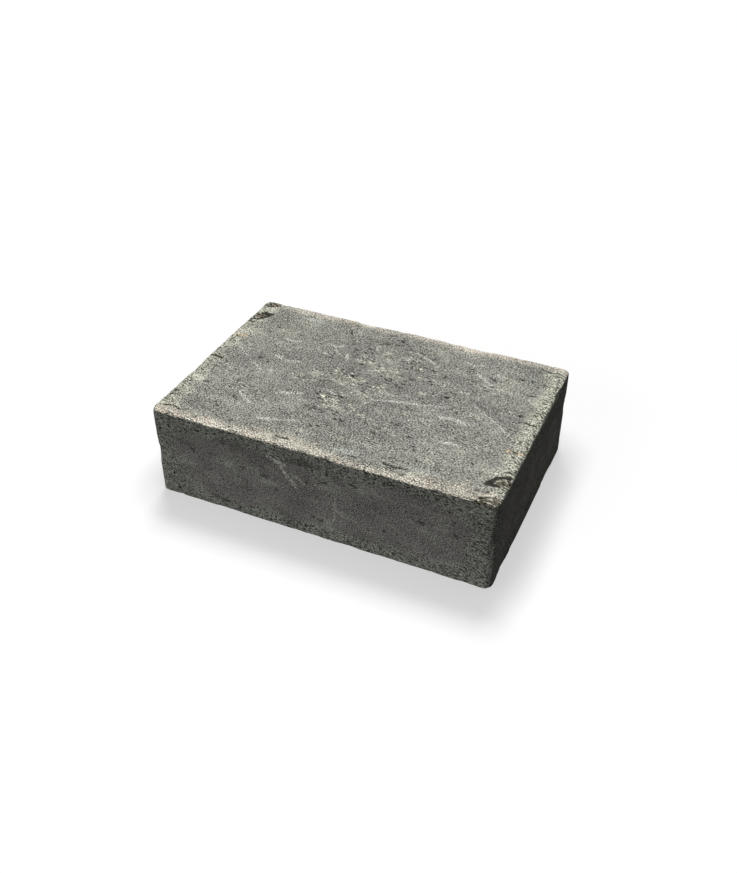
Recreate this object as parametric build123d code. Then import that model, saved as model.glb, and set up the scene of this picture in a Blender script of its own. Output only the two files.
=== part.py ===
from build123d import *

import os
import random
from dataclasses import dataclass
from math import atan, cos, radians, sin, sqrt

# Tumbled concrete paving stone, in millimetres.
# The block is pressed in a mould as one piece and then turned in a drum with others
# like it. That rounds every arris, the line where two faces meet, breaks shallow
# shell-shaped chips out of it and lifts a few flat flakes off the top. Nothing is
# fixed to the stone and nothing moves.
# Origin: centre of the underside. +X runs along the length, +Y towards the back
# and +Z up.

# Block as it leaves the mould
length = 210.0
width = 140.0
height = 60.0

# Rounding that the drum leaves on the upright, top and base arrises
corner_radius = 4.6
top_wear_radius = 1.9
base_wear_radius = 1.2

# Scattered chips: how far apart they are on each kind of arris, and the smallest and
# largest bite below its rounding, chord along the arris and lean between its faces
top_chip_pitch = 21.0
base_chip_pitch = 29.0
upright_chip_pitch = 27.0
top_chip_bite = (0.05, 0.2)
base_chip_bite = (0.02, 0.1)
upright_chip_bite = (0.02, 0.08)
chip_chord = (9.0, 24.0)
chip_lean = (30.0, 60.0)
wear_seed = 11

# Knocked corners: the smallest and largest bite below the corner's rounding, the bites
# of the two hardest knocks, and how hollow the break is
knock_bite = (0.03, 0.15)
named_knocks = {"top_front_left": 0.9, "base_front_right": 0.5}
knock_radius = 16.0


@dataclass
class Arris:
    """A sharp edge of the unworn block, the outward directions of its two faces, the
    radius that the drum wears on it and the spread and bites of its chips."""

    name: str
    start: Vector
    end: Vector
    face_a: Vector
    face_b: Vector
    wear_radius: float
    chip_pitch: float
    chip_bite: tuple

    @property
    def along(self):
        return (self.end - self.start).normalized()

    @property
    def run(self):
        return (self.end - self.start).length

    def point(self, at):
        """A point on the arris, measured from its start, or from its end when negative."""
        place = at if at >= 0 else self.run + at
        return self.start + self.along * place


@dataclass
class Chip:
    """A shell-shaped break. A lean of 45 degrees bites both faces alike, a smaller one
    spreads over face_a and a larger one over face_b."""

    at: float
    chord: float
    bite: float
    lean: float = 45.0


@dataclass
class Flake:
    """The scar of a lifted flake: a trough that is widest and deepest at the arris and
    runs out to a point across face_a. Skew swings its point along the arris."""

    at: float
    width: float
    depth: float
    reach: float
    skew: float = 0.0


# Breaks that stand out from the even wear, by arris. The flakes lie at opposite
# corners of the top, and those at the back left are the shallower ones.
named_chips = {
    "top_front": [Chip(72.0, 40.0, 0.5, 58.0), Chip(128.0, 26.0, 0.4, 40.0)],
    "top_right": [Chip(84.0, 20.0, 0.4)],
    "top_back": [Chip(86.0, 32.0, 0.45, 38.0), Chip(-62.0, 30.0, 0.35, 34.0)],
    "top_left": [Chip(46.0, 22.0, 0.4)],
    "base_front": [Chip(-40.0, 26.0, 0.3, 50.0)],
}
flakes = {
    "top_right": [Flake(21.0, 11.0, 1.2, 13.0, -10.0), Flake(6.5, 7.0, 0.6, 16.0, -3.0)],
    "top_left": [Flake(-21.0, 10.0, 0.7, 12.0, 10.0), Flake(-6.5, 6.0, 0.3, 14.0, 3.0)],
}

FRONT, BACK = Vector(0, -1, 0), Vector(0, 1, 0)
LEFT, RIGHT = Vector(-1, 0, 0), Vector(1, 0, 0)
UP, DOWN = Vector(0, 0, 1), Vector(0, 0, -1)
ENDS = (FRONT, "front"), (BACK, "back")
SIDES = (LEFT, "left"), (RIGHT, "right")


def sharp_corner(side, end, level):
    """A corner of the unworn block, named by its three outward directions."""
    return Vector(side.X * length / 2, end.Y * width / 2, height if level.Z > 0 else 0.0)


def arrises():
    """All twelve arrises: four round the top, four round the base and four uprights."""
    found = []
    top_wear = top_wear_radius, top_chip_pitch, top_chip_bite
    base_wear = base_wear_radius, base_chip_pitch, base_chip_bite
    upright_wear = corner_radius, upright_chip_pitch, upright_chip_bite
    for level, word, wear in ((UP, "top", top_wear), (DOWN, "base", base_wear)):
        for end, end_word in ENDS:
            start, stop = sharp_corner(LEFT, end, level), sharp_corner(RIGHT, end, level)
            found.append(Arris(f"{word}_{end_word}", start, stop, level, end, *wear))
        for side, side_word in SIDES:
            start, stop = sharp_corner(side, FRONT, level), sharp_corner(side, BACK, level)
            found.append(Arris(f"{word}_{side_word}", start, stop, level, side, *wear))
    for end, end_word in ENDS:
        for side, side_word in SIDES:
            start, stop = sharp_corner(side, end, DOWN), sharp_corner(side, end, UP)
            name = f"upright_{end_word}_{side_word}"
            found.append(Arris(name, start, stop, end, side, *upright_wear))
    return found


def cap_radius(chord, depth):
    """Radius of the circle whose cap has this chord and this depth."""
    return (chord**2 / 4 + depth**2) / (2 * depth)


def chip_scoop(arris, chip):
    """The ball that leaves a chip in the rounded arris."""
    radius = cap_radius(chip.chord, chip.bite)
    outward = arris.face_a * cos(radians(chip.lean)) + arris.face_b * sin(radians(chip.lean))
    worn_back = arris.wear_radius * (sqrt(2) * cos(radians(chip.lean - 45)) - 1)
    centre = arris.point(chip.at) + outward * (radius - chip.bite - worn_back)
    return Plane(origin=centre, x_dir=outward, z_dir=arris.along) * Sphere(radius)


def flake_trough(arris, flake):
    """The tilted rod that leaves a flake's trough in the arris's first face."""
    radius = cap_radius(flake.width, flake.depth)
    tilt = atan(flake.depth / flake.reach)
    swing = radians(flake.skew)
    inward = arris.along * sin(swing) - arris.face_b * cos(swing)
    run_in = inward * cos(tilt) + arris.face_a * sin(tilt)
    over_arris = arris.point(flake.at) + arris.face_a * (radius - flake.depth)
    start = over_arris - run_in * radius
    rod = Cylinder(radius, flake.reach + 2 * radius, align=(Align.CENTER, Align.CENTER, Align.MIN))
    return Plane(origin=start, z_dir=run_in) * rod


def scattered_chips(arris):
    """The even scatter of chips along one arris, the same on every run."""
    draw = random.Random(f"{arris.name} {wear_seed}")
    count = max(1, round(arris.run / arris.chip_pitch))
    pitch = arris.run / count
    for n in range(count):
        at = pitch * (n + draw.uniform(0.25, 0.75))
        yield Chip(at, draw.uniform(*chip_chord), draw.uniform(*arris.chip_bite),
                   draw.uniform(*chip_lean))


def corner_knock(name, side, end, level, wear_radius):
    """The ball that leaves the shallow hollow of one knocked corner."""
    draw = random.Random(f"{name} {wear_seed}")
    outward = (side + end + level).normalized()
    worn_back = ((2 * corner_radius + wear_radius) / sqrt(3)
                 - (corner_radius - wear_radius) * sqrt(2 / 3) - wear_radius)
    bite = named_knocks.get(name, draw.uniform(*knock_bite))
    centre = sharp_corner(side, end, level) + outward * (knock_radius - bite - worn_back)
    return Plane(origin=centre, x_dir=outward, z_dir=side.cross(outward)) * Sphere(knock_radius)


def moulded_block():
    """The pressed block with the drum's even rounding on all its arrises."""
    plan = fillet(Rectangle(length, width).vertices(), corner_radius)
    block = extrude(plan, height)
    block = fillet(block.faces().sort_by(Axis.Z)[-1].edges(), top_wear_radius)
    return fillet(block.faces().sort_by(Axis.Z)[0].edges(), base_wear_radius)


def paving_stone():
    """The finished stone: one solid with its chips, flakes and knocked corners cut away."""
    breaks = []
    for arris in arrises():
        chips = [*scattered_chips(arris), *named_chips.get(arris.name, [])]
        breaks += [chip_scoop(arris, chip) for chip in chips]
        breaks += [flake_trough(arris, flake) for flake in flakes.get(arris.name, [])]
    for side, side_word in SIDES:
        for end, end_word in ENDS:
            corner = f"{end_word}_{side_word}"
            breaks.append(corner_knock(f"top_{corner}", side, end, UP, top_wear_radius))
            breaks.append(corner_knock(f"base_{corner}", side, end, DOWN, base_wear_radius))
    stone = moulded_block()
    for tool in breaks:
        stone -= tool
    return stone.solid()


os.makedirs("parts", exist_ok=True)
export_step(paving_stone(), "parts/paving_stone.step")
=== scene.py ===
import random
from math import cos, pi, radians, sin

import bmesh
import bpy
import numpy as np
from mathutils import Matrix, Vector, noise
from mathutils.bvhtree import BVHTree


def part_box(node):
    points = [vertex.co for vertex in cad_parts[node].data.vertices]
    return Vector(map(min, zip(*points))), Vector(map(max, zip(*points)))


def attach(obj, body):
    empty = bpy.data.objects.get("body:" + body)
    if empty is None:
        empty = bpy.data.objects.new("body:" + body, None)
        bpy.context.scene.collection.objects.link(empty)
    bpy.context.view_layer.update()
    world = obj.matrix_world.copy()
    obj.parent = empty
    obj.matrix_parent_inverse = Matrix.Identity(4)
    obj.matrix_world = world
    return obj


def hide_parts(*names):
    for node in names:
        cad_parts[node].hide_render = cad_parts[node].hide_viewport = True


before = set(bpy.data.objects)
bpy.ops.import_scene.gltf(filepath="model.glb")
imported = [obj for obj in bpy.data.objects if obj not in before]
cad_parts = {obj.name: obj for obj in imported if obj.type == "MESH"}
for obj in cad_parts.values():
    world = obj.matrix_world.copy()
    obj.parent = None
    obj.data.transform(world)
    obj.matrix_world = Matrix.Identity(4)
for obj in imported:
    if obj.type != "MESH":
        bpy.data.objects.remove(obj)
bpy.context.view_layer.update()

# The paving stone: one block of fine dry concrete, pressed in a mould and then turned
# in a drum, which rounds its arrises, breaks shells out of them and scuffs its faces.
# Its skin is an even mesh laid over the solid, worked in millimetres and only inwards.
stone_low, stone_high = (np.array(corner) * 1000 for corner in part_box("paving_stone"))
stone_centre = (stone_low + stone_high) / 2
stone_half = (stone_high - stone_low) / 2
skin_grid = 1.022

# A point is on the side where its normal's Z is below the first of top_lean, and on the
# top where it is above the second. The grit of each face is drawn out along a streak.
# Noise of several octaves fades, and gets finer, by these two from one to the next.
top_lean = (0.45, 0.75)
top_turn = radians(12)
side_turn = radians(15)
top_streak = np.array([cos(top_turn), -sin(top_turn), 0])
side_streak = np.array([cos(side_turn), 0, -sin(side_turn)])
octave_fade, octave_step = 0.9, 2.1


def apply_modifiers(piece):
    """Replaces a piece's mesh by what its modifiers make of it."""
    view = bpy.context.evaluated_depsgraph_get()
    made = bpy.data.meshes.new_from_object(piece.evaluated_get(view))
    piece.modifiers.clear()
    piece.data = made


def even_skin(node, grid):
    """A closed mesh of even quads over a node's loose triangles, grid in millimetres."""
    loose = node.data.copy()
    shape = bmesh.new()
    shape.from_mesh(loose)
    bmesh.ops.remove_doubles(shape, verts=shape.verts, dist=1e-6)
    shape.to_mesh(loose)
    shape.free()
    piece = bpy.data.objects.new("stone", loose)
    bpy.context.scene.collection.objects.link(piece)
    remesh = piece.modifiers.new("even skin", "REMESH")
    remesh.mode = "VOXEL"
    remesh.voxel_size = grid / 1000
    apply_modifiers(piece)
    return piece


def read(mesh, name):
    """A vertex property as rows of three numbers."""
    values = np.empty(len(mesh.vertices) * 3, dtype=np.float32)
    mesh.vertices.foreach_get(name, values)
    return values.reshape(-1, 3).astype(float)


def ramp(value, start, end):
    """0 at start and 1 at end, with a smooth run between."""
    t = np.clip((value - start) / (end - start), 0, 1)
    return t * t * (3 - 2 * t)


def waves(size, shift=0.0, octaves=1, stretch=1.0):
    """Smooth noise about 0, mostly between -1 and 1, with bumps about size millimetres
    apart, drawn out by stretch along the streak of the face they lie on."""

    def along(streak):
        spots = points - np.outer(points @ streak, streak) * (1 - 1 / stretch)
        spots = (spots / size + shift).tolist()
        if octaves == 1:
            return np.array([noise.noise(spot) for spot in spots])
        return np.array([noise.fractal(spot, octave_fade, octave_step, octaves)
                         for spot in spots])

    on_sides = along(side_streak)
    if stretch == 1:
        return on_sides
    return on_sides + (along(top_streak) - on_sides) * on_top_face


stone = even_skin(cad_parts["paving_stone"], skin_grid)
points = read(stone.data, "co") * 1000
outward = read(stone.data, "normal")
sound_skin = BVHTree.FromObject(stone, bpy.context.evaluated_depsgraph_get())
on_top_face = ramp(outward[:, 2], *top_lean)

# How far each point is from the block's six walls, and so from the nearest arris, where
# the two nearest walls meet.
walls = np.hstack([points - stone_low, stone_high - points]).clip(0)
arris_distance = np.sort(walls, axis=1)[:, 1]

# Small shells broken out of the arrises. Each is the hollow of a ball, at a lean between
# the two faces, with a chord and a bite from these ranges. The bite grows with the chord.
shell_count = 190
shell_chord = (2.5, 8.0)
shell_bite = (0.03, 0.16)
least_bite = 0.4
shell_lean = (12, 78)
corner_clearance = 9.0
well_outside = 20.0
draw = random.Random(4)
for _ in range(shell_count):
    run = draw.choices((0, 1, 2), weights=stone_half)[0]
    first, second = (axis for axis in (0, 1, 2) if axis != run)
    lean = radians(draw.uniform(*shell_lean))
    aim = np.zeros(3)
    aim[first] = draw.choice((-1, 1)) * cos(lean)
    aim[second] = draw.choice((-1, 1)) * sin(lean)
    spot = stone_centre + stone_half * np.sign(aim)
    spot[run] += draw.uniform(-1, 1) * (stone_half[run] - corner_clearance)
    chord = draw.uniform(*shell_chord)
    bite = draw.uniform(*shell_bite) * (least_bite + chord / shell_chord[1])
    hit = sound_skin.ray_cast(Vector((spot + aim * well_outside) / 1000), Vector(-aim))[0]
    if hit is None:
        continue
    radius = (chord**2 / 4 + bite**2) / (2 * bite)
    ball = np.array(hit) * 1000 + aim * (radius - bite)
    reach = points - ball
    distance = np.linalg.norm(reach, axis=1)
    inside = distance < radius
    points[inside] = ball + reach[inside] * (radius / distance[inside])[:, None]

# Marks that the stone carries, and marks of painted shade, in millimetres from its centre:
# (x, y) on the top and (x, z) on the front, z from the ground. A stroke has its spots, half
# width and strength, a patch its middle, two half widths and strength. Near both ends of
# the top the marks come in pairs, the second one half a turn away, and so do all marks of
# the front, whose second one is on the back.
top_scuffs = [
    ([(-44, -52), (-33, -49), (-21.5, -45)], 1.7, 1.0),
    ([(-46, -25), (-40, -23), (-33, -20)], 1.7, 1.0),
    ([(6, -9.5), (23, -5), (49, 0.7)], 1.1, 0.65),
    ([(35, -19), (41, -15), (48, -14)], 1.2, 0.9),
    ([(39, -16), (48, -19)], 1.2, 0.9),
    ([(19, 46), (25, 43), (30, 40), (32, 31)], 1.4, 0.8),
    ([(28, 39), (36, 37)], 1.0, 0.6),
    ([(44, 52), (50, 49.5), (56, 52)], 1.3, 0.7),
    ([(-12, 46), (-11, 41)], 1.2, 0.8),
    ([(-26, 30), (-24, 24)], 1.3, 0.7),
    ([(-41, 36), (-36, 34.5), (-32.5, 38)], 1.3, 1.0),
    ([(-35, 32), (-30, 28)], 0.9, 0.8),
    ([(-22, -11), (-18, -11.5), (-15, -13.5)], 1.1, 0.9),
    ([(5.5, -14), (3, -22), (0, -28.5)], 1.1, 0.4),
]
paired_scuffs = [
    ([(95, -13), (78, 0), (63.5, 9.7)], 0.9, 0.8),
    ([(50, -9.5), (57, -7.5), (65, -10)], 2.3, 0.8),
    ([(60, -31), (65, -29.5), (70, -30.5)], 1.4, 1.0),
    ([(55, 41), (63, 35.5)], 1.2, 0.9),
    ([(101, -21), (97, -16)], 1.0, 0.9),
    ([(96.5, -27), (103.5, -25.8)], 1.9, 1.2),
    ([(72, 31), (63, 36), (56, 41)], 1.5, 0.5),
]
top_flecks = [
    (-10, 28, 9, 3.2, 0.9), (-18, -18, 10, 5, 0.9), (-35, -7, 5, 4, 0.8),
    (-1, 23, 6, 4, 0.8), (-11, 3, 9, 5, 0.9), (-13, -15, 8, 6, 0.7), (12, 47, 4.5, 2, 1.1),
    (21, 51, 2, 2.5, 1.0), (40, 27, 1.8, 1.2, 1.2), (51.5, 3.6, 1.6, 1.2, 1.2),
    (6, 15.5, 3, 1.2, 1.1), (39.5, -47, 1.6, 2, 1.0), (8, -49.5, 4, 1.6, 1.0),
    (-46, -5, 5, 2, 0.8), (16, 40, 7, 2.5, 0.7), (-24, 8, 6, 4, 0.6),
]
paired_flecks = [(70, 31, 7, 3.5, 1.0), (68, 27, 9, 3, 0.6), (86, 12, 4, 2, 0.6),
                 (59, 29, 7, 2, 0.6)]
# The cuts are carved into the relief and also painted dark, as shade in them.
top_shaded_cuts = [
    ([(-36, 58), (-35.3, 55), (-33.5, 52)], 1.3, 1.0),
    ([(-27, -62.3), (-23, -63), (-19, -62.6)], 1.1, 1.0),
    ([(37, -60.3), (43, -61.6), (51, -60.2)], 1.3, 1.0),
    ([(40, -33), (43.5, -33.6)], 1.1, 1.0),
    ([(46, -40.2), (47.3, -40.8)], 1.2, 1.0),
    ([(-10, -27.6), (-5, -29), (-1, -30.6)], 0.9, 1.0),
    ([(-14, 9), (-9.5, 7.5)], 1.1, 1.0),
    ([(47, 16.5), (51, 16)], 1.1, 0.9),
    ([(14, 50), (18, 48.5)], 1.0, 0.9),
    ([(7, 13.8), (9, 12.8)], 1.0, 1.0),
    ([(-14.4, 23.2), (-12.8, 22.8)], 1.3, 1.0),
    ([(-23.5, 36.8), (-22, 36)], 1.0, 1.0),
    ([(22, 46.5), (25, 45.6)], 1.0, 0.8),
]
paired_shaded_cuts = [
    ([(95.5, 5.8), (99, 4.8), (103, 5.2)], 1.4, 1.1),
    ([(88, 63.5), (94, 61), (100, 62.5)], 1.1, 0.9),
    ([(88.5, 32), (94, 33)], 1.1, 0.9),
    ([(63.5, 41), (68, 38.5)], 1.3, 0.9),
    ([(80, -41), (81.5, -42)], 1.2, 1.0),
    ([(72, 23.8), (74, 23.2)], 1.1, 0.9),
    # The back walls of the two flakes' scars, carved in and painted dark as their shadow.
    ([(92.8, -54), (94.5, -50.8), (96.8, -47.3), (99.7, -45.5), (104, -44.2)], 1.8, 1.4),
    ([(92.8, -54), (95.6, -54.1), (99.4, -53.4)], 1.8, 1.4),
    ([(92.6, -53.7), (95.6, -52.9)], 1.8, 1.6),
    ([(99, -41.4), (101.6, -40.6), (104, -41)], 1.2, 1.0),
    ([(93.5, -66.8), (95.7, -64.6), (98.7, -63.3), (101.8, -62.4), (104, -62.2)], 1.7, 0.8),
    ([(85, -63.6), (89.2, -64.1), (92.4, -64.9)], 1.7, 0.5),
]
smooth_strips = [(15, -60, 12, 3, 1.4)]
paired_strips = [(64, -58.3, 16, 2.6, 1.0), (73, 59, 3.2, 2.6, 0.8)]
paired_floors = [([(96.5, -51.9), (104.5, -48.3)], 3.4, 1.2),
                 ([(95, -68.4), (104.5, -65.4)], 3.2, 0.9)]
paired_rust = [([(94, -23.3), (99.7, -23.3), (104.5, -22.8)], 1.4, 1.0)]
front_scuffs = [
    ([(-20.7, 45), (-17.5, 40.5), (-11.4, 33.6)], 1.4, 1.3),
    ([(-29, 50), (-24, 48), (-18, 47)], 1.4, 0.8),
    ([(-10.5, 41), (-8, 39.5), (-6.5, 37.5)], 1.0, 0.7),
    ([(12, 33), (12.4, 25), (12, 17)], 1.0, 0.6),
]
front_flecks = [(-24.5, 48, 6, 1.8, 0.9), (35, 43, 3, 2, 1.0), (25.5, 27.5, 3, 2, 0.5),
                (87, 15, 4, 2.6, 0.8), (-90, 20, 2.6, 1, 0.8), (-79, 54.5, 3, 1.5, 0.7)]
front_shaded_cuts = [([(21, 47), (26, 45.5)], 1.1, 1.0), ([(-75.7, 54), (-75, 53)], 1.1, 1.0),
              ([(-50, 5.6), (-49.8, 4.2)], 1.2, 1.1)]
# The front's arcs are painted shadow: dark bands under the rough border along the top of the
# front, where its step would cast shade.
front_shade_arcs = [(-49, 50, 15, 5.5, 0.9), (-8, 51.5, 13, 5, 0.9), (47, 54.5, 14, 3.2, 0.8),
              (-82, 42, 14, 3.5, 0.6)]


def on_top(x, y):
    """A place on the top."""
    return np.array((x, y, stone_high[2]))


def on_front(x, z):
    """A place on the front."""
    return np.array((x, stone_low[1], z))


def half_turned(place):
    """A place turned half a turn about the stone's upright centre line."""
    return lambda x, y: place(x, y) * (-1, -1, 1)


def stroke(place, spots, half_width):
    """1 along a line through the spots, 0 at its half width and below 0 beyond."""
    nearest = np.full(len(points), np.inf)
    for start, stop in zip(spots, spots[1:]):
        a, b = place(*start), place(*stop)
        t = ((points - a) @ (b - a) / ((b - a) @ (b - a))).clip(0, 1)
        away = points - a - t[:, None] * (b - a)
        nearest = np.minimum(nearest, np.linalg.norm(away, axis=1))
    return 1 - nearest / half_width


def patch(place, x, y, half_x, half_y):
    """1 in the middle of an oval patch, 0 at its rim and below 0 beyond. Through the
    face it is as deep as its second half width."""
    sizes = np.abs(place(half_x, half_y) - place(0, 0))
    sizes[sizes == 0] = half_y
    return 1 - np.linalg.norm((points - place(x, y)) / sizes, axis=1)


def painted(jobs):
    """The strongest of many strokes and patches at each point, each as (place, mark),
    and -1 where there is none."""
    field = np.full(len(points), -1.0)
    for place, mark in jobs:
        if isinstance(mark[0], list):
            spots, half_width, strength = mark
            value = stroke(place, spots, half_width)
        else:
            x, y, half_x, half_y, strength = mark
            value = patch(place, x, y, half_x, half_y)
        field = np.maximum(field, value * strength)
    return field


def once(place, marks):
    """Each mark with its place."""
    return [(place, mark) for mark in marks]


def twice(place, marks):
    """Each mark with its place, and again half a turn away."""
    return once(place, marks) + once(half_turned(place), marks)


scuff = painted(once(on_top, top_scuffs) + twice(on_top, paired_scuffs)
                + twice(on_front, front_scuffs))
fleck = painted(once(on_top, top_flecks) + twice(on_top, paired_flecks)
                + twice(on_front, front_flecks))
shaded_cut = painted(once(on_top, top_shaded_cuts) + twice(on_top, paired_shaded_cuts)
              + twice(on_front, front_shaded_cuts))
strip = painted(once(on_top, smooth_strips) + twice(on_top, paired_strips))
flake_floor = painted(twice(on_top, paired_floors))
rust = painted(twice(on_top, paired_rust))
shade_arc = painted(twice(on_front, front_shade_arcs))

# How far the wear reaches in from each arris of the top: as (x, reach) along the front
# and the back, and evenly at the left and right end. Round the sides its reach sways,
# and near and on the two ends it is longer. The middle of the top is darker, with more
# pale smears.
front_wear = [(-105, 13), (-84, 12.5), (-62, 10), (-50, 11), (-38, 14), (-20, 15), (-5, 13),
              (8, 9), (25, 7), (50, 7), (58, 12), (75, 18), (88, 17), (97, 15), (105, 14)]
back_wear = [(-105, 11), (-70, 10.5), (-20, 9.5), (16, 9.5), (26, 10.5), (40, 12.5), (49, 12),
             (52, 10), (105, 10.5)]
left_wear, right_wear = 15.5, 13.0
side_wear = 11.0
side_sway = 0.6
end_gain = 8.0
end_zone = (70, 100)
middle_patch = (0, 6, 62.0, 80.0)
from_left, from_front, _, from_right, from_back, _ = walls.T
front_reach = np.interp(points[:, 0], *zip(*front_wear))
back_reach = np.interp(points[:, 0], *zip(*back_wear))
side_reach = side_wear * (1 + side_sway * waves(34.0, shift=7.7))
side_reach += end_gain * ramp(np.abs(points[:, 0]), *end_zone)
cream = np.maximum(1 - from_front / front_reach, 1 - from_back / back_reach) * on_top_face
end_band = 1 - np.minimum(from_left / left_wear, from_right / right_wear)
side_band = (1 - arris_distance / side_reach) * (1 - on_top_face)
pale = np.maximum(np.maximum(end_band, 0) * on_top_face, side_band)
middle_zone = ramp(patch(on_top, *middle_patch), 0.0, 0.6) * on_top_face

# Where the stone is rough: beside the arrises and in the flakes' scars, and less so in
# the cream wear and on the sides.
rim_noise = waves(9.0, shift=3.1)
rim_sway = 2.5
rough_reach = (10.0, 2.5)
cream_polish = 0.7
side_roughness = 0.55
side_rim_sway = 0.25
rough = ramp(arris_distance + rim_sway * rim_noise, *rough_reach) * on_top_face
rough = rough * (1 - cream_polish * ramp(cream, 0.0, 0.3))
rough = np.maximum(rough, ramp(flake_floor, 0.0, 0.3))
rough_side = side_roughness * ramp(side_band + side_rim_sway * rim_noise, 0.0, 0.4)
rough = np.maximum(rough, rough_side)

# The relief, as a depth below the solid: a slow swell and ripple, streaky grit, torn
# spots where it is rough, shallow dents, and pits where air was trapped in the mould.
swell_depth = 0.04
ripple_depth = 0.02
grit_depth = 0.01
rough_grit_depth = 0.03
torn_depth = 0.14
dent_depth = 0.03
pit_count = 700
pit_radius = (0.7, 2.4)
pit_length = (1.0, 2.0)
pit_depth = 0.55
full_pit_radius = 1.4
depth = swell_depth * (1 + waves(38.0, shift=1.7)) + ripple_depth * (1 + waves(11.0, shift=5.3))
grit = 1 + waves(2.9, shift=9.9, octaves=2, stretch=1.8)
depth += (grit_depth + rough_grit_depth * rough) * grit
depth += torn_depth * rough * ramp(waves(4.4, shift=2.2, stretch=2.6), 0.15, 0.5)
depth += dent_depth * ramp(waves(3.6, shift=4.4, stretch=2.8), 0.25, 0.5)
shaded_pit = np.zeros(len(points))
for _ in range(pit_count):
    spot = points[draw.randrange(len(points))]
    radius = pit_radius[0] + (pit_radius[1] - pit_radius[0]) * draw.random() ** 4
    squash = np.array([draw.uniform(*pit_length), 1.0, 1.0])
    distance = np.linalg.norm((points - spot) / squash, axis=1) / radius
    near = distance < 1
    hollow = (1 - distance[near] ** 2) ** 2 * min(1, radius / full_pit_radius)
    shaded_pit[near] = np.maximum(shaded_pit[near], hollow)
depth += pit_depth * shaded_pit

# The marks go in last and run out at the arrises, so that these keep their outline.
cut_depth = 0.55
scuff_depth = 0.10
deepest_cut = 1.3
inland = ramp(arris_distance, 1.0, 4.0)
marks = cut_depth * shaded_cut.clip(0, deepest_cut) + scuff_depth * scuff.clip(0, 1)
depth += marks * inland
points -= outward * depth[:, None].clip(0)
points = points.clip(stone_low, stone_high)
stone.data.vertices.foreach_set("co", (points / 1000).astype(np.float32).ravel())
layers = {"top": on_top_face, "shaded_pit": shaded_pit, "scuff": scuff, "fleck": fleck, "shaded_cut": shaded_cut,
          "strip": strip, "flake_floor": flake_floor, "rust": rust, "shade_arc": shade_arc,
          "cream": cream, "pale": pale, "rough": rough, "middle": middle_zone,
          "height": points[:, 2] / stone_high[2]}
for name, values in layers.items():
    layer = stone.data.attributes.new(name, "FLOAT", "POINT")
    layer.data.foreach_set("value", values.astype(np.float32))
stone.data.shade_smooth()

# Its concrete: grey cement with sand, whose grains, smears and pores are finer than the
# mesh. It is paler and creamier where the drum has rubbed it.
concrete = bpy.data.materials.new("concrete")
concrete.use_nodes = True
tree = concrete.node_tree


def add(kind, sockets=None, **settings):
    """One node in the tree at hand: its sockets take values or other nodes' outputs."""
    made = tree.nodes.new("ShaderNode" + kind)
    for name, value in settings.items():
        setattr(made, name, value)
    for name, value in (sockets or {}).items():
        if isinstance(value, bpy.types.NodeSocket):
            tree.links.new(value, made.inputs[name])
        else:
            made.inputs[name].default_value = value
    return made


def maths(operation, first, second=0.0, clamp=False):
    """One step of arithmetic between numbers or outputs."""
    return add("Math", {0: first, 1: second}, operation=operation, use_clamp=clamp).outputs[0]


def plus(first, second):
    return maths("ADD", first, second)


def less(first, second, clamp=False):
    return maths("SUBTRACT", first, second, clamp)


def times(first, second):
    return maths("MULTIPLY", first, second)


def layer_of(name):
    """One of the layers painted on the skin above."""
    return add("Attribute", attribute_name=name).outputs["Fac"]


# The places that the grains are laid out on: turned so that X follows the streak, and
# with a finer grain on the sides than on the top.
side_fineness = (0.8, 0.62, 0.62)
top = layer_of("top")
place = add("TexCoord").outputs["Object"]
side_place = add("Mapping", {"Vector": place, "Rotation": (0, side_turn, 0),
                             "Scale": side_fineness}, vector_type="TEXTURE")
top_place = add("Mapping", {"Vector": place, "Rotation": (0, 0, -top_turn)},
                vector_type="TEXTURE")
streak_place = add("Mix", {0: maths("GREATER_THAN", top, 0.5), 4: side_place.outputs[0],
                           5: top_place.outputs[0]}, data_type="VECTOR").outputs[1]


def grain(size, detail=0.0, shift=0.0, roughness=0.5, stretch=1.0):
    """Noise from 0 to 1 with cells of size millimetres, drawn out by stretch along the
    streak of the face they lie on."""
    spot = add("Mapping", {"Vector": streak_place, "Location": (shift, shift, shift),
                           "Scale": (stretch, 1, 1)}, vector_type="TEXTURE").outputs[0]
    return add("TexNoise", {"Vector": spot, "Scale": 1000 / size, "Detail": detail,
                            "Roughness": roughness}).outputs[0]


def between(value, low, high, to_low=0.0, to_high=1.0):
    """A value's run from low to high, smoothly mapped to another."""
    return add("MapRange", {"Value": value, "From Min": low, "From Max": high, "To Min": to_low,
                            "To Max": to_high}, interpolation_type="SMOOTHSTEP").outputs[0]


def within(zone, outside, inside):
    """One number outside a zone and another inside it."""
    return between(zone, 0.0, 1.0, outside, inside)


def laid(factor, under, over, blend="MIX"):
    """One colour laid over another where the factor is 1."""
    made = add("Mix", {"Factor": factor}, data_type="RGBA", blend_type=blend)
    for socket, value in ((made.inputs[6], under), (made.inputs[7], over)):
        if isinstance(value, bpy.types.NodeSocket):
            tree.links.new(value, socket)
        else:
            socket.default_value = (*value, 1)
    return made.outputs[2]


def shaded(under, tone):
    """A colour made lighter or darker by a number."""
    grey = add("CombineXYZ", {0: tone, 1: tone, 2: tone}).outputs[0]
    return laid(1.0, under, grey, "MULTIPLY")


def broken(name, noise_value, low, high, spread=1.0):
    """A painted layer with its rim broken up by noise."""
    wobble = times(less(noise_value, 0.5), spread)
    return between(plus(layer_of(name), wobble), low, high)


def weighed(*terms):
    """The sum of noises from 0 to 1, each less its mean and times its weight."""
    total = 0.0
    for value, weight in terms:
        total = plus(total, times(less(value, 0.5), weight))
    return total


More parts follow.
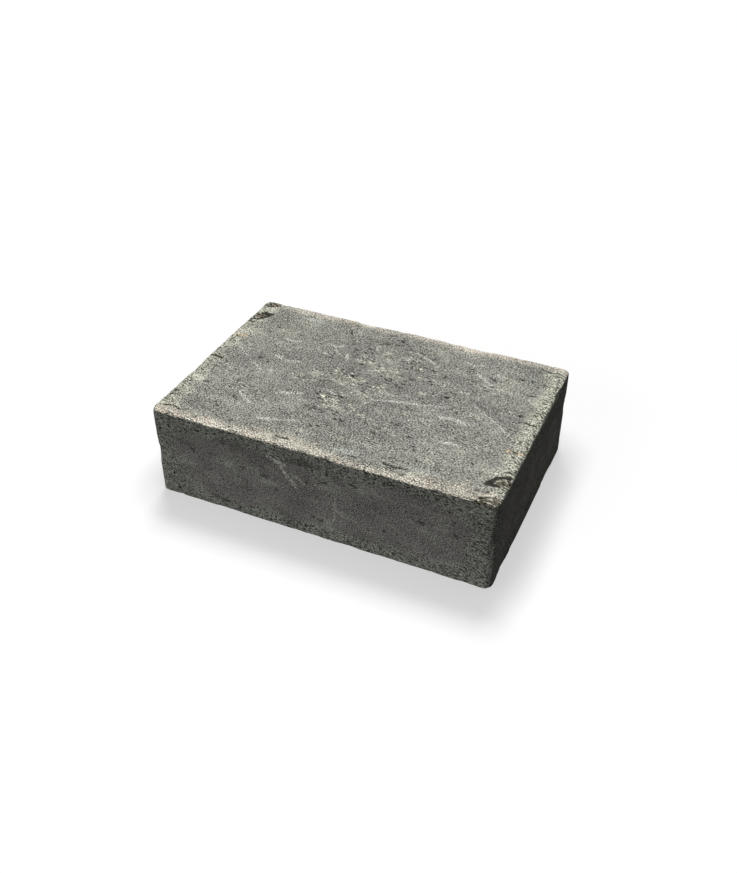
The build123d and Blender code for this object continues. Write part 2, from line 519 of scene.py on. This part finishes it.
dust = grain(0.55, shift=0.21, stretch=1.8)
sand = grain(1.0, detail=0.5, shift=0.37, stretch=3.0)
chaff = grain(2.6, detail=1.0, shift=0.53, stretch=2.8)
cloud = grain(9.0, detail=2.0, shift=0.71, stretch=2.2)
drift = grain(24.0, detail=2.0, shift=0.3)
# Pale dashes, partly painted glints on the ridges, and dark dashes, partly painted shade in the
# crevices.
pale_dash_and_glint = between(grain(1.1, detail=0.5, shift=0.91, stretch=3.4), 0.55, 0.67)
dark_dash_and_crevice_shade = between(grain(1.1, detail=0.5, shift=0.17, stretch=3.0), 0.58, 0.70)
middle = layer_of("middle")

# Where the grains are busy: in clusters on the top, in its pale flecks and in the rough
# bands.
clusters = between(grain(8.0, 2.0, 0.83, 0.6, stretch=2.0), 0.50, 0.66)
clusters = times(clusters, within(middle, 0.5, 1.0))
busy = times(maths("MAXIMUM", clusters, between(layer_of("fleck"), -0.2, 0.5)), top)
busy = maths("MAXIMUM", busy, between(layer_of("rough"), 0.0, 0.65))

# The colours, laid one over another from the plain faces to the marks.
top_olive = (0.262, 0.262, 0.232)
top_middle = (0.220, 0.215, 0.193)
side_grey = (0.220, 0.212, 0.199)
side_pale = (0.285, 0.294, 0.258)
end_pale = (0.425, 0.425, 0.352)
cream_colour = (0.575, 0.54, 0.455)
rosy_colour = (0.59, 0.52, 0.43)
arc_shade_colour = (0.13, 0.125, 0.115)
fleck_colour = (0.56, 0.55, 0.455)
scuff_colour = (0.52, 0.51, 0.455)
strip_colour = (0.345, 0.352, 0.320)
floor_colour = (0.13, 0.117, 0.088)
rust_colour = (0.55, 0.44, 0.31)
# Painted light on the sides: darker towards the top and lighter towards the bottom.
upper_painted_shade, lower_painted_light = 0.86, 1.12
top_tone = laid(times(middle, between(drift, 0.2, 0.6)), top_olive, top_middle)
side_tone = laid(broken("pale", cloud, 0.0, 0.35, 1.2), side_grey, side_pale)
# The sides' painted shade and light, by height.
side_tone = shaded(side_tone, between(layer_of("height"), 0.9, 0.1, upper_painted_shade, lower_painted_light))
colour = laid(top, side_tone, top_tone)
colour = laid(times(top, broken("pale", cloud, 0.0, 0.6, 1.4)), colour, end_pale)
colour = laid(broken("strip", cloud, 0.1, 0.6), colour, strip_colour)
cream_or_rosy = laid(between(grain(6.0, 1.0, 0.61), 0.52, 0.66), cream_colour, rosy_colour)
cream_mask = times(broken("cream", times(plus(cloud, chaff), 0.5), 0.0, 0.9), 0.9)
colour = laid(cream_mask, colour, cream_or_rosy)
# Painted shadow: the dark arcs on the front under its rough upper border.
colour = laid(broken("shade_arc", cloud, 0.0, 0.9), colour, arc_shade_colour)
colour = laid(broken("flake_floor", sand, 0.1, 0.4, 3.2), colour, floor_colour)
colour = laid(broken("rust", sand, -0.1, 0.7, 2.0), colour, rust_colour)
smear = broken("fleck", grain(4.0, 2.0, 0.47, 0.6, stretch=2.6), -0.1, 0.5, 3.0)
loose_smear = between(grain(3.6, 2.0, 0.67, 0.6, stretch=2.2), 0.57, 0.66)
smear = times(maths("MAXIMUM", smear, loose_smear), plus(0.3, times(pale_dash_and_glint, 0.7)))
smear = times(times(smear, within(middle, 0.45, 1.0)), top)
colour = laid(smear, colour, fleck_colour)
scratched = times(broken("scuff", sand, 0.0, 0.6, 1.3), 0.75)
colour = laid(scratched, colour, scuff_colour)

# Light and dark grains over all of it, as the power of a sum of noises: specks of dust
# everywhere, sand and chaff where it is coarse, and dashes where it is busy. They follow
# the same noises as the bumps below, lighter where these stand up and darker where they
# sink: partly the concrete's own grain, partly painted light on the ridges and painted
# shade in the crevices. The wiped strips and the cream wear are calm.
speck_gain, speck_peak = 3.4, 22.0
sand_gain, chaff_gain = 1.4, 1.4
cloud_gain, drift_gain = 0.5, 1.2
light_gain, dark_gain = 0.7, 1.4
darkest_tone, lightest_tone = 0.22, 2.0
calm = maths("MAXIMUM", between(layer_of("strip"), 0.0, 0.5), cream_mask)
coarse = plus(plus(times(busy, 0.5), times(middle, 0.2)), 0.05)
coarse = less(coarse, times(calm, 0.6), clamp=True)
coarse = times(coarse, within(top, 0.3, 1.0))
patchy = between(grain(5.0, 2.0, 0.13, 0.6, stretch=2.4), 0.36, 0.66, 0.5, 1.6)
fine = times(patchy, less(1.0, times(calm, 0.25)))
fine = times(fine, within(top, 1.25, 1.0))
speck = less(dust, 0.5)
peaked = plus(speck_gain, times(maths("ABSOLUTE", speck), speck_peak))
dashes = less(times(pale_dash_and_glint, light_gain), times(dark_dash_and_crevice_shade, dark_gain))
dashes = times(dashes, within(top, 1.9, 1.5))
tone = times(times(speck, peaked), fine)
tone = plus(tone, weighed((drift, drift_gain)))
tone = plus(tone, times(weighed((cloud, cloud_gain)), within(top, 0.4, 1.0)))
tone = plus(tone, times(weighed((sand, sand_gain), (chaff, chaff_gain)), coarse))
tone = plus(tone, times(dashes, less(busy, calm, clamp=True)))
tone = maths("MINIMUM", maths("EXPONENT", tone), lightest_tone)
tone = maths("MAXIMUM", tone, darkest_tone)
colour = shaded(colour, tone)

# Painted shade: pits and cuts are darkened to nearly black at the bottom, as shade in the
# hollows.
deep_shade_colour = (0.035, 0.035, 0.030)
pit_shade, cut_shade = 0.8, 0.92
colour = laid(times(layer_of("shaded_pit"), pit_shade), colour, deep_shade_colour)
cut_shade_mask = broken("shaded_cut", sand, 0.2, 0.7, 0.8)
colour = laid(times(cut_shade_mask, cut_shade), colour, deep_shade_colour)

# The same grains stand out by parts of a millimetre, on a dry surface with next to no
# gloss.
bump_height = 0.001
bumps = plus(times(dust, 0.2), times(weighed((sand, 0.5), (chaff, 0.5)), coarse))
bumps = plus(bumps, times(dashes, times(busy, 0.5)))
relief = add("Bump", {"Height": bumps, "Distance": bump_height, "Strength": 1.0})
surface = tree.nodes["Principled BSDF"]
surface.inputs["Roughness"].default_value = 0.95
surface.inputs["Specular IOR Level"].default_value = 0.05
tree.links.new(colour, surface.inputs["Base Color"])
tree.links.new(relief.outputs[0], surface.inputs["Normal"])
stone.data.materials.clear()
stone.data.materials.append(concrete)
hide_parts("paving_stone")
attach(stone, "root")

# The camera stands in front of the stone and to its right, looking down on the top at
# the photograph's angle.
camera_azimuth = radians(24.289)
camera_elevation = radians(37.015)
camera_place = (0.19616, -0.43148, 0.38175)
camera_lens = 39.964
camera_sensor = 36.0
camera = bpy.data.objects.new("camera", bpy.data.cameras.new("camera"))
camera.data.lens = camera_lens
camera.data.sensor_width = camera_sensor
camera.location = camera_place
camera.rotation_euler = (pi / 2 - camera_elevation, 0, camera_azimuth)
bpy.context.scene.collection.objects.link(camera)
bpy.context.scene.camera = camera

# The light: a broad soft key high behind the stone and to its left, and a weak fill
# from the front left. Strengths are set so that colours on the top render as written.
key_from = Vector((-0.19, 0.475, 1.0))
key_strength, key_spread = 2.95, 20.0
fill_from = Vector((-0.45, -0.85, 0.35))
fill_strength, fill_spread = 0.98, 40.0


def soft_sun(name, source, strength, spread):
    """A lamp far off towards source, its disc spread degrees across."""
    lamp = bpy.data.objects.new(name, bpy.data.lights.new(name, "SUN"))
    lamp.data.energy = strength
    lamp.data.angle = radians(spread)
    lamp.rotation_euler = source.to_track_quat("Z", "Y").to_euler()
    bpy.context.scene.collection.objects.link(lamp)


soft_sun("key", key_from, key_strength, key_spread)
soft_sun("fill", fill_from, fill_strength, fill_spread)

# The surroundings: an empty studio, which is white where the camera looks and casts a
# low even light on the stone.
ambient = 0.067
studio = bpy.data.worlds.new("studio")
studio.use_nodes = True
bpy.context.scene.world = studio
tree = studio.node_tree


def looked_at():
    """1 where the camera sees a thing straight, in a gloss or through glass."""
    path = add("LightPath").outputs
    seen = plus(path["Is Camera Ray"], path["Is Glossy Ray"])
    return maths("ADD", seen, path["Is Transmission Ray"], clamp=True)


backdrop = tree.nodes["Background"]
backdrop.inputs["Color"].default_value = (1, 1, 1, 1)
tree.links.new(within(looked_at(), ambient, 1.0), backdrop.inputs["Strength"])

# The floor: a plain sheet that is white to the camera and still takes the shadow. Close
# to the stone its colour is darkened by ambient occlusion, as painted shade.
floor_size = 6.0
floor_glow = 0.605
floor_seen = (0.41, 0.41, 0.41)
floor_bounce = (0.08, 0.08, 0.08, 1)
contact_reach = 0.028
contact_depth = 2.6
sheet = bmesh.new()
bmesh.ops.create_grid(sheet, x_segments=1, y_segments=1, size=floor_size / 2)
floor = bpy.data.objects.new("floor", bpy.data.meshes.new("floor"))
sheet.to_mesh(floor.data)
sheet.free()
bpy.context.scene.collection.objects.link(floor)
paper = bpy.data.materials.new("floor")
paper.use_nodes = True
tree = paper.node_tree
tree.nodes.remove(tree.nodes["Principled BSDF"])
bounce = add("BsdfDiffuse", {"Color": floor_bounce})
openness = add("AmbientOcclusion", {"Distance": contact_reach}).outputs["AO"]
contact_shade = maths("POWER", openness, contact_depth)
lit = add("BsdfDiffuse", {"Color": laid(contact_shade, (0, 0, 0), floor_seen)})
glow = add("Emission", {"Color": (1, 1, 1, 1), "Strength": floor_glow})
seen = add("AddShader", {0: lit.outputs[0], 1: glow.outputs[0]})
both = add("MixShader", {0: looked_at(), 1: bounce.outputs[0], 2: seen.outputs[0]})
tree.links.new(both.outputs[0], tree.nodes["Material Output"].inputs["Surface"])
floor.data.materials.append(paper)

bpy.context.scene.view_settings.view_transform = "Standard"
